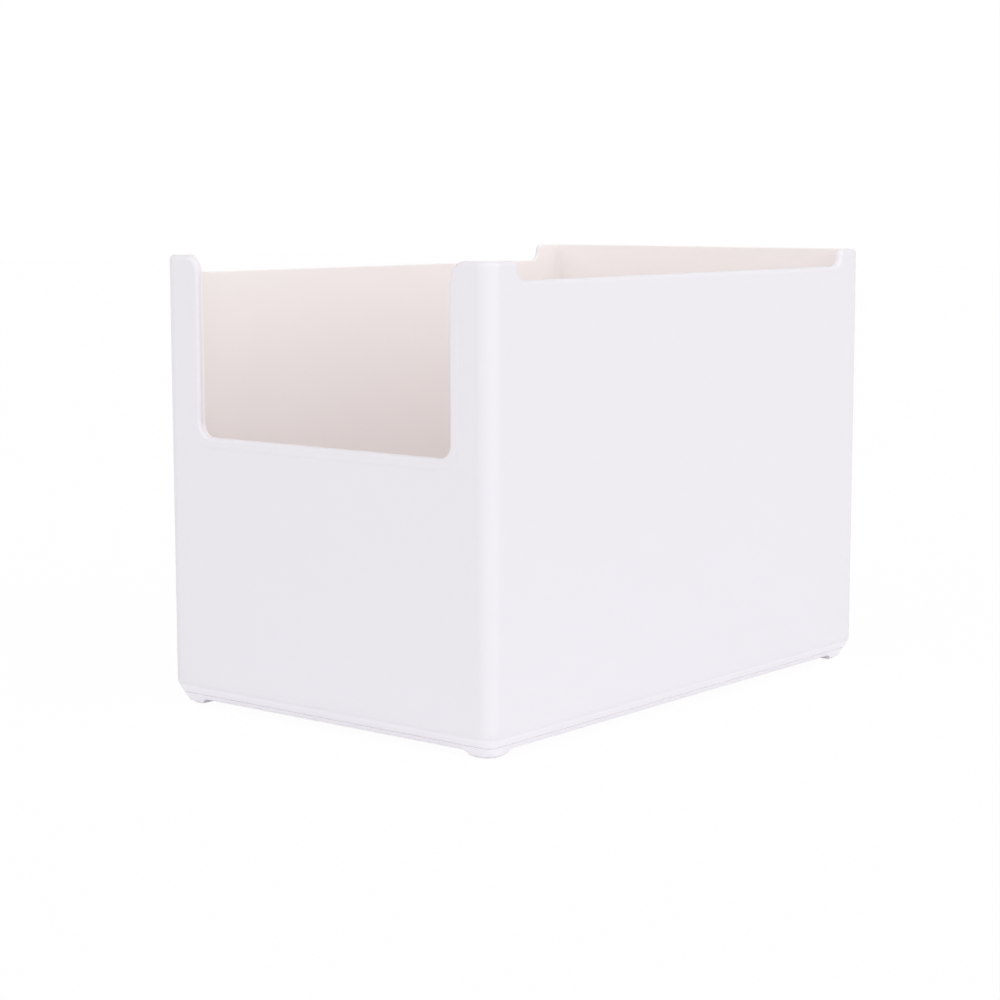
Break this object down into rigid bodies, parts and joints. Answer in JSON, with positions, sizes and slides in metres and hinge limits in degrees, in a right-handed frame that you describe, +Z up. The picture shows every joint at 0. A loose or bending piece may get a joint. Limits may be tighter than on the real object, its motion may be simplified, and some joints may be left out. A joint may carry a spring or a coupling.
{
  "type": "open stacking storage bin",
  "caption": "Open-topped stacking storage bin with a deep hand opening in front, corner posts, an inset base frame and corner feet.",
  "frame": {"origin": "on the standing surface, under the middle of the bin", "axes": "+Z up, +Y to the rear, the hand opening faces -Y, +X to the right seen from the front"},
  "size_m": [0.186, 0.2821, 0.2],
  "materials": {
    "white_shell": "satin",
    "white_base": "satin"
  },
  "bodies": {
    "root": {"bin_body": "white_shell", "base_frame": "white_base", "foot_front_left": "white_base", "foot_front_right": "white_base", "foot_rear_left": "white_base", "foot_rear_right": "white_base"}
  },
  "joints": []
}
